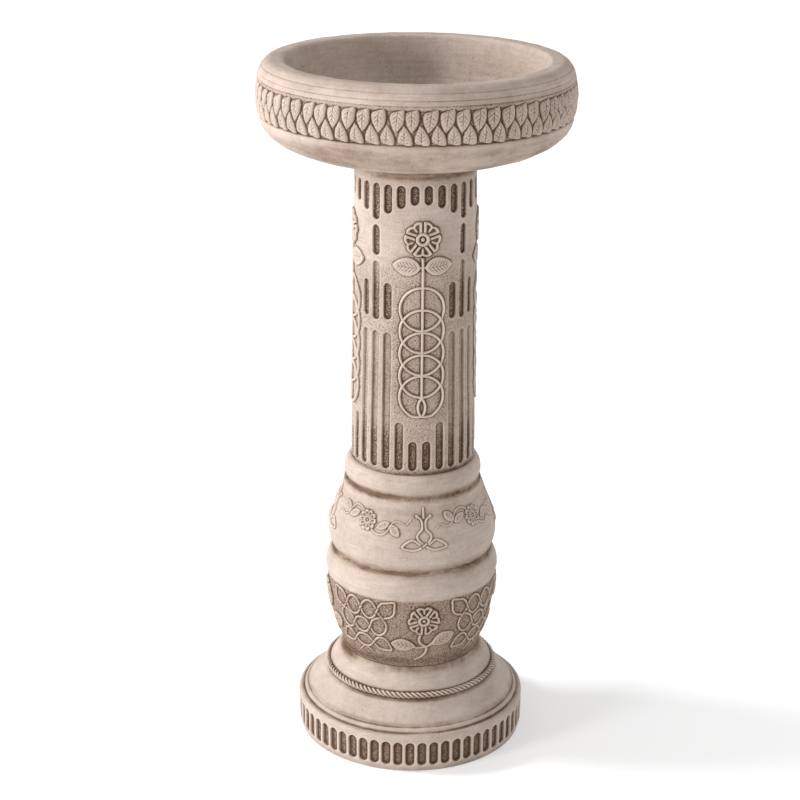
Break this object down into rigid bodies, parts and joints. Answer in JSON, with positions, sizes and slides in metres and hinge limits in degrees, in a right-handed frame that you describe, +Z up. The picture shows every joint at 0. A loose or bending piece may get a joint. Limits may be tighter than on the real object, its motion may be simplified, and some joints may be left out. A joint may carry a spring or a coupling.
{
  "type": "bird bath",
  "caption": "Pedestal bird bath in carved cast stone: a round basin on a fluted column, a bulbous vase and a stepped, fluted foot, stacked on dowels.",
  "frame": {"origin": "centre of the base's underside, on the ground", "axes": "+Z up along the common axis of the castings, -Y towards the front, where one of the four carved faces looks"},
  "size_m": [0.3334, 0.3334, 0.76],
  "materials": {
    "base_stone": "cast stone, warm grey-beige with a brown patina in the flutes, dry and matt",
    "vase_stone": "cast stone, warm grey-beige with a brown patina in the carving, dry and matt",
    "column_stone": "cast stone, warm grey-beige with a brown patina in the flutes and on the stippled ground, dry and matt",
    "bowl_stone": "cast stone, warm grey-beige with a brown patina in the carving and a darker mottled basin, dry and matt",
    "dowel_steel": "plain round stainless bar, fine turned surface",
    "sleeve_plastic": "moulded dark grey plastic, matt",
    "seat_rubber": "closed-cell black rubber sheet, cut edge"
  },
  "bodies": {
    "base": {"base_casting": "base_stone", "vase_dowel": "dowel_steel"},
    "vase_seat": {"vase_seat_ring": "seat_rubber"},
    "vase": {"vase_casting": "vase_stone", "vase_sleeve": "sleeve_plastic", "column_dowel": "dowel_steel"},
    "column_seat": {"column_seat_ring": "seat_rubber"},
    "column": {"column_casting": "column_stone", "column_sleeve": "sleeve_plastic", "bowl_dowel": "dowel_steel"},
    "bowl_seat": {"bowl_seat_ring": "seat_rubber"},
    "bowl": {"bowl_casting": "bowl_stone", "bowl_sleeve": "sleeve_plastic"}
  },
  "joints": [
    {"name": "vase_turn", "type": "hinge", "parent": "base", "child": "vase_seat", "pos_m": [0, 0, 0.102], "axis": [0, 0, 1], "continuous": true},
    {"name": "vase_lift", "type": "slide", "parent": "vase_seat", "child": "vase", "axis": [0, 0, 1], "range_m": [0, 0.1]},
    {"name": "column_turn", "type": "hinge", "parent": "vase", "child": "column_seat", "pos_m": [0, 0, 0.325], "axis": [0, 0, 1], "continuous": true},
    {"name": "column_lift", "type": "slide", "parent": "column_seat", "child": "column", "axis": [0, 0, 1], "range_m": [0, 0.1]},
    {"name": "bowl_turn", "type": "hinge", "parent": "column", "child": "bowl_seat", "pos_m": [0, 0, 0.654], "axis": [0, 0, 1], "continuous": true},
    {"name": "bowl_lift", "type": "slide", "parent": "bowl_seat", "child": "bowl", "axis": [0, 0, 1], "range_m": [0, 0.1]}
  ]
}
